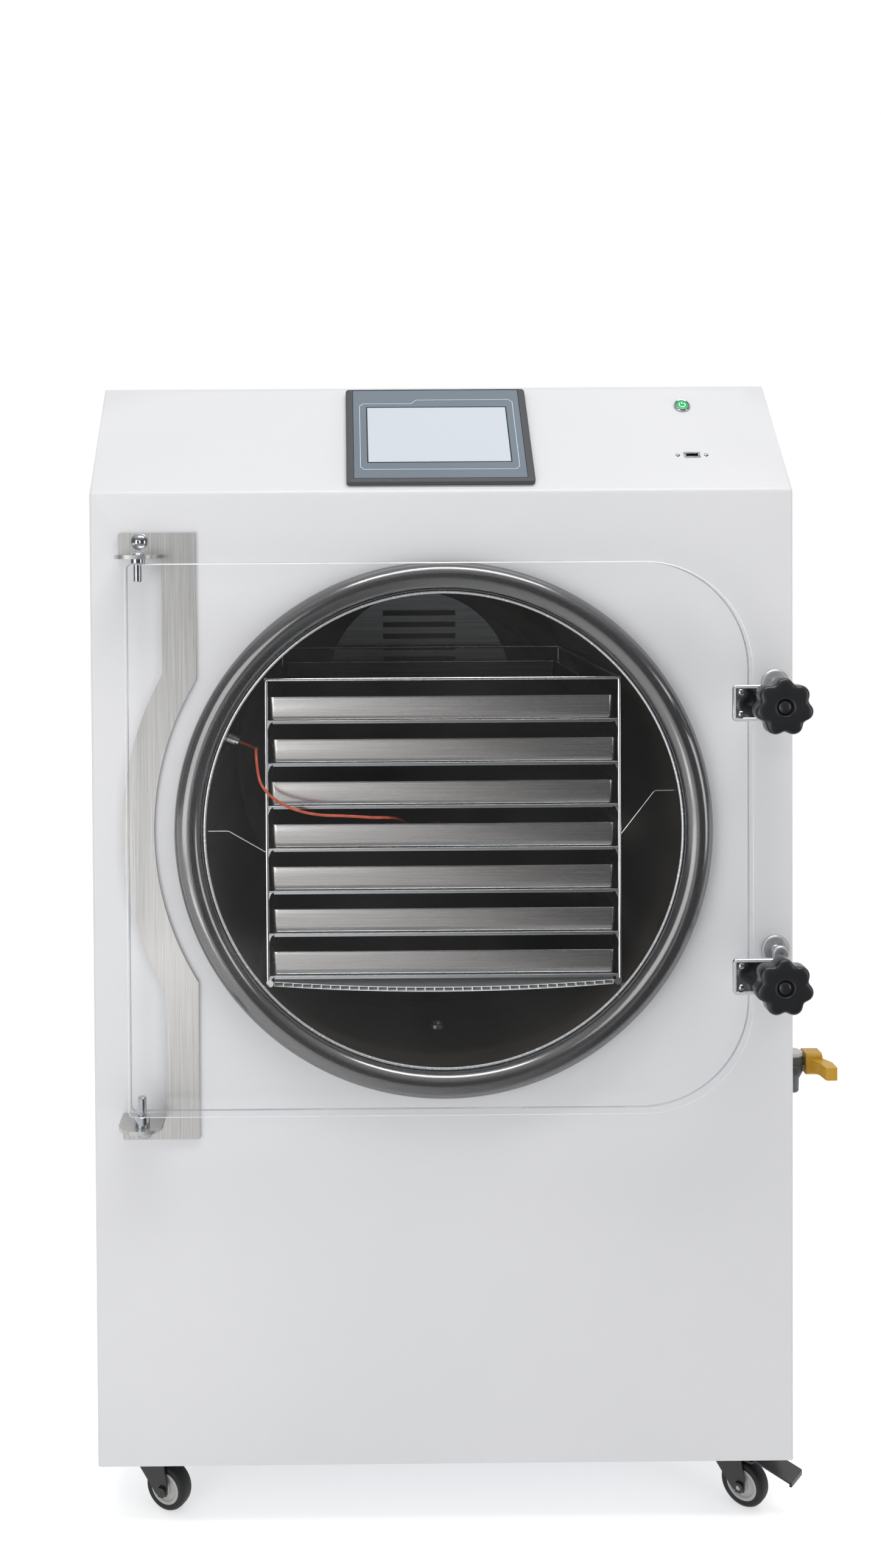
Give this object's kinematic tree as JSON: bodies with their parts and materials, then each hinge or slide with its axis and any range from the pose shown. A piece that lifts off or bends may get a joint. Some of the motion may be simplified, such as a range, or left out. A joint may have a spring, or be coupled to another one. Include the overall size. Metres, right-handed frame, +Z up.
{
  "type": "freeze dryer",
  "caption": "Wheeled white laboratory freeze dryer with a round vacuum chamber, a hinged clear door with star-knob latches, a rack of shallow trays and a sloped touch panel.",
  "frame": {"origin": "on the floor, under the middle of the whole machine's box", "axes": "+X to the right of a person facing the door, +Y back into the machine, +Z up"},
  "size_m": [0.8082, 0.92, 1.242],
  "materials": {
    "cabinet_paint": "powder coat, fine satin",
    "galvanised_steel": "galvanised sheet",
    "stainless": "brushed and bright stainless",
    "tray_steel": "brushed lengthwise",
    "seal_rubber": "moulded, glossy",
    "foam": "closed-cell foam",
    "copper": "bare copper tube",
    "twin_wall": "translucent twin-wall sheet",
    "cable_silicone": "soft silicone",
    "chrome": "bright plated",
    "knob_plastic": "moulded, satin",
    "bezel_plastic": "fine moulded grain",
    "screen_glass": "lit display glass",
    "button_green": "lit, glossy",
    "socket_metal": "pressed shell",
    "valve_grey": "satin",
    "lever_yellow": "moulded",
    "compressor_black": "gloss black",
    "fin_aluminium": "rolled fins",
    "caster_black": "satin black",
    "tyre": "moulded tyre",
    "clear_acrylic": "polished clear"
  },
  "bodies": {
    "root": {"base_tray": "galvanised_steel", "cabinet_frame": "galvanised_steel", "cable_gland": "stainless", "caster_plates": "galvanised_steel", "chamber_drum": "stainless", "compressor": "compressor_black", "condenser": "fin_aluminium", "control_box": "galvanised_steel", "door_seal": "seal_rubber", "drain_pipe": "stainless", "drain_valve_body": "valve_grey", "drip_sheet": "twin_wall", "evaporator_coil": "copper", "fan_frame": "galvanised_steel", "front_panel": "cabinet_paint", "hinge_pins": "chrome", "hinge_strap": "stainless", "insulation_jacket": "foam", "latch_keepers": "chrome", "left_side_panel": "cabinet_paint", "panel_screws": "chrome", "power_button_ring": "chrome", "rack_frame": "stainless", "rack_shelves": "stainless", "rear_panel": "cabinet_paint", "right_side_panel": "cabinet_paint", "screen_bezel": "bezel_plastic", "screen_face": "screen_glass", "sensor_cable": "cable_silicone", "sensor_probe": "stainless", "top_cover": "cabinet_paint", "tray_1": "tray_steel", "tray_2": "tray_steel", "tray_3": "tray_steel", "tray_4": "tray_steel", "tray_5": "tray_steel", "tray_6": "tray_steel", "tray_7": "tray_steel", "usb_socket": "socket_metal", "vacuum_port": "stainless", "vapour_baffle": "stainless"},
    "door": {"door_pane": "clear_acrylic", "latch_plates": "chrome", "latch_plate_screws": "chrome"},
    "upper_latch": {"knob_upper": "knob_plastic", "spindle_upper": "chrome"},
    "lower_latch": {"knob_lower": "knob_plastic", "spindle_lower": "chrome"},
    "power_button": {"power_button_cap": "button_green"},
    "drain_lever": {"valve_lever": "lever_yellow"},
    "fan": {"fan_rotor": "knob_plastic"},
    "swivel_front_left": {"caster_fork_front_left": "caster_black"},
    "wheel_front_left": {"caster_wheel_front_left": "tyre"},
    "swivel_front_right": {"caster_fork_front_right": "caster_black"},
    "wheel_front_right": {"caster_wheel_front_right": "tyre"},
    "swivel_rear_left": {"caster_fork_rear_left": "caster_black"},
    "wheel_rear_left": {"caster_wheel_rear_left": "tyre"},
    "swivel_rear_right": {"caster_fork_rear_right": "caster_black"},
    "wheel_rear_right": {"caster_wheel_rear_right": "tyre"},
    "brake": {"brake_pedal": "caster_black"}
  },
  "joints": [
    {"name": "door_hinge", "type": "hinge", "parent": "root", "child": "door", "pos_m": [-0.3449, -0.405, 0.758], "axis": [0, 0, -1], "range_deg": [0, 160]},
    {"name": "upper_latch_turn", "type": "hinge", "parent": "door", "child": "upper_latch", "pos_m": [0.3136, -0.43, 0.899], "axis": [0, -1, 0], "range_deg": [0, 90]},
    {"name": "lower_latch_turn", "type": "hinge", "parent": "door", "child": "lower_latch", "pos_m": [0.3136, -0.43, 0.614], "axis": [0, -1, 0], "range_deg": [0, 90]},
    {"name": "power_button_press", "type": "slide", "parent": "root", "child": "power_button", "axis": [0, 0.7339, -0.6793], "range_m": [0, 0.002], "stiffness_N_per_m": 300, "springref_m": -0.003},
    {"name": "drain_lever_turn", "type": "hinge", "parent": "root", "child": "drain_lever", "pos_m": [0.3851, -0.31, 0.486], "axis": [1, 0, 0], "range_deg": [0, 90]},
    {"name": "fan_spin", "type": "hinge", "parent": "root", "child": "fan", "pos_m": [-0.1959, 0.41, 0.255], "axis": [0, 1, 0], "continuous": true},
    {"name": "front_left_swivel", "type": "hinge", "parent": "root", "child": "swivel_front_left", "pos_m": [-0.3459, -0.315, 0.06], "axis": [0, 0, 1], "continuous": true},
    {"name": "front_left_roll", "type": "hinge", "parent": "swivel_front_left", "child": "wheel_front_left", "pos_m": [-0.32986, -0.32317, 0.025], "axis": [0.454, 0.891, 0], "continuous": true},
    {"name": "front_right_swivel", "type": "hinge", "parent": "root", "child": "swivel_front_right", "pos_m": [0.2941, -0.315, 0.06], "axis": [0, 0, 1], "continuous": true},
    {"name": "front_right_roll", "type": "hinge", "parent": "swivel_front_right", "child": "wheel_front_right", "pos_m": [0.30789, -0.32657, 0.025], "axis": [0.6428, 0.766, 0], "continuous": true},
    {"name": "brake_press", "type": "hinge", "parent": "swivel_front_right", "child": "brake", "pos_m": [0.30253, -0.32207, 0.0545], "axis": [0.6428, 0.766, 0], "range_deg": [0, 9]},
    {"name": "rear_left_swivel", "type": "hinge", "parent": "root", "child": "swivel_rear_left", "pos_m": [-0.3459, 0.37, 0.06], "axis": [0, 0, 1], "continuous": true},
    {"name": "rear_left_roll", "type": "hinge", "parent": "swivel_rear_left", "child": "wheel_rear_left", "pos_m": [-0.35435, 0.38589, 0.025], "axis": [-0.8829, -0.4695, 0], "continuous": true},
    {"name": "rear_right_swivel", "type": "hinge", "parent": "root", "child": "swivel_rear_right", "pos_m": [0.2941, 0.37, 0.06], "axis": [0, 0, 1], "continuous": true},
    {"name": "rear_right_roll", "type": "hinge", "parent": "swivel_rear_right", "child": "wheel_rear_right", "pos_m": [0.30199, 0.38618, 0.025], "axis": [-0.8988, 0.4384, 0], "continuous": true}
  ]
}
